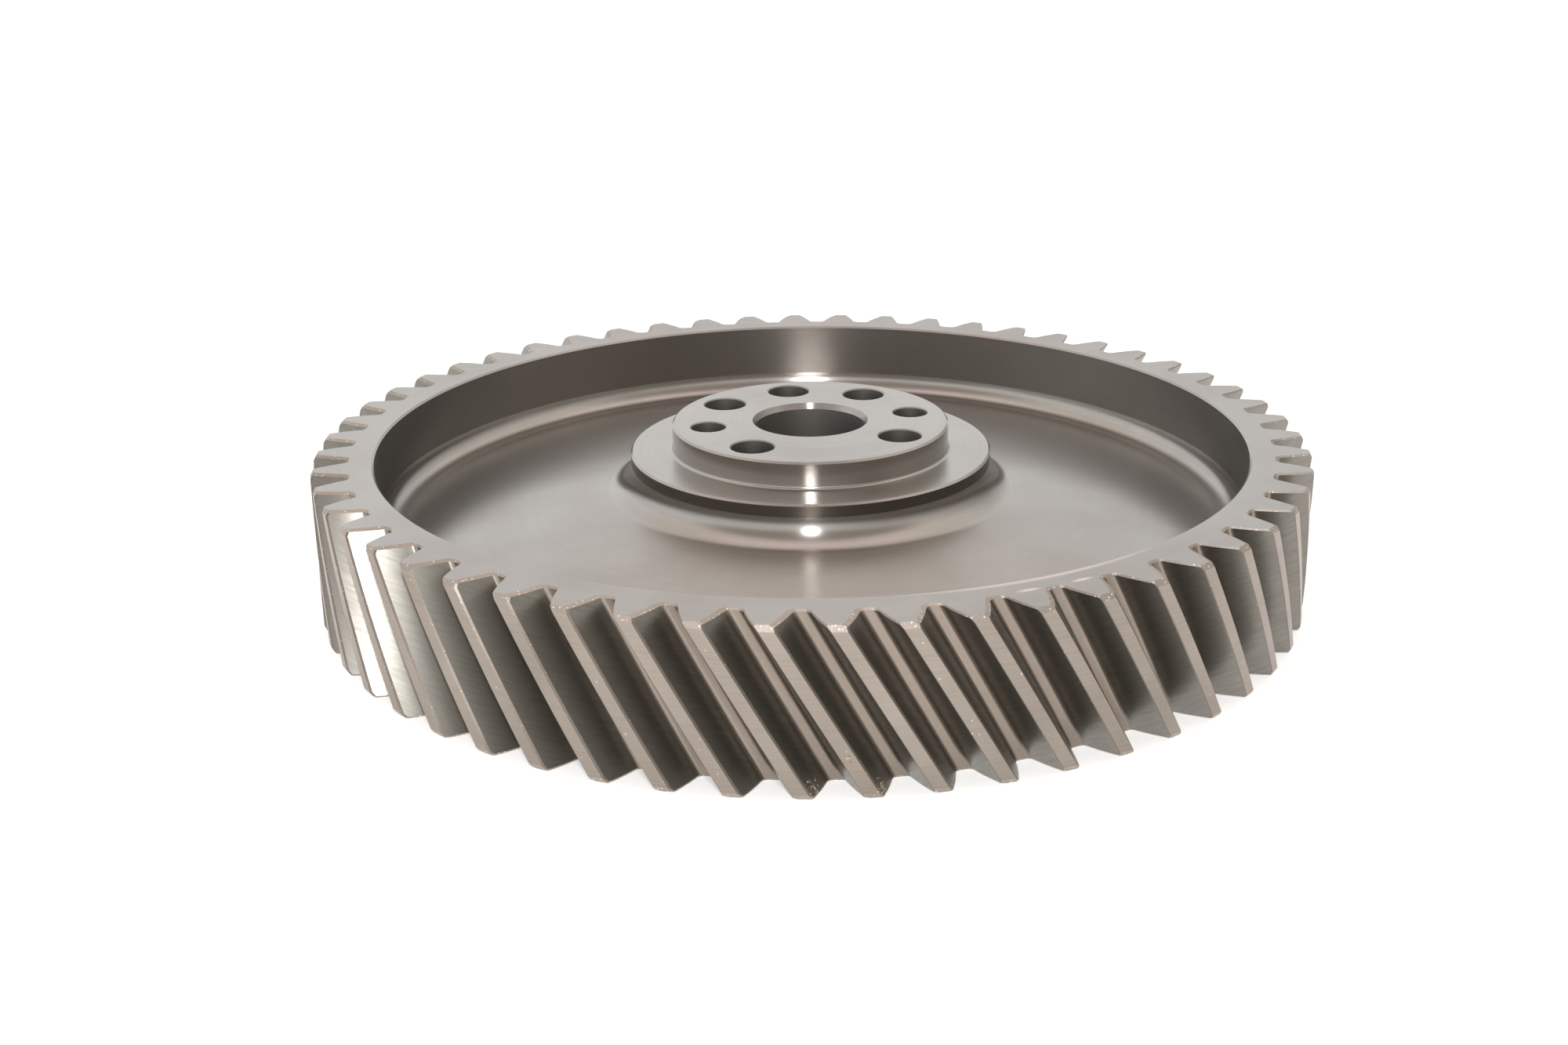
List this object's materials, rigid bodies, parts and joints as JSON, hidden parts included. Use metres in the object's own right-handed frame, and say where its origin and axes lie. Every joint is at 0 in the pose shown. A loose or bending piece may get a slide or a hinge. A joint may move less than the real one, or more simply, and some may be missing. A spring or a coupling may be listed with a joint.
{
  "type": "camshaft gear",
  "caption": "Helical timing gear for a camshaft: toothed rim, thin dished web and a flanged hub with a raised pilot, a central bore and bolt holes.",
  "frame": {"origin": "on the gear's axis, in the back face that the gear lies on", "axes": "+Z along the axis, from the back face towards the pilot; -Y towards the undrilled place of the hole circle, where a tooth is centred in the back face; +X to the right seen from -Y"},
  "size_m": [0.2562, 0.2562, 0.0437],
  "materials": {
    "steel": "satin, turned and ground, warm grey"
  },
  "bodies": {
    "root": {"camshaft_gear": "steel"}
  },
  "joints": []
}
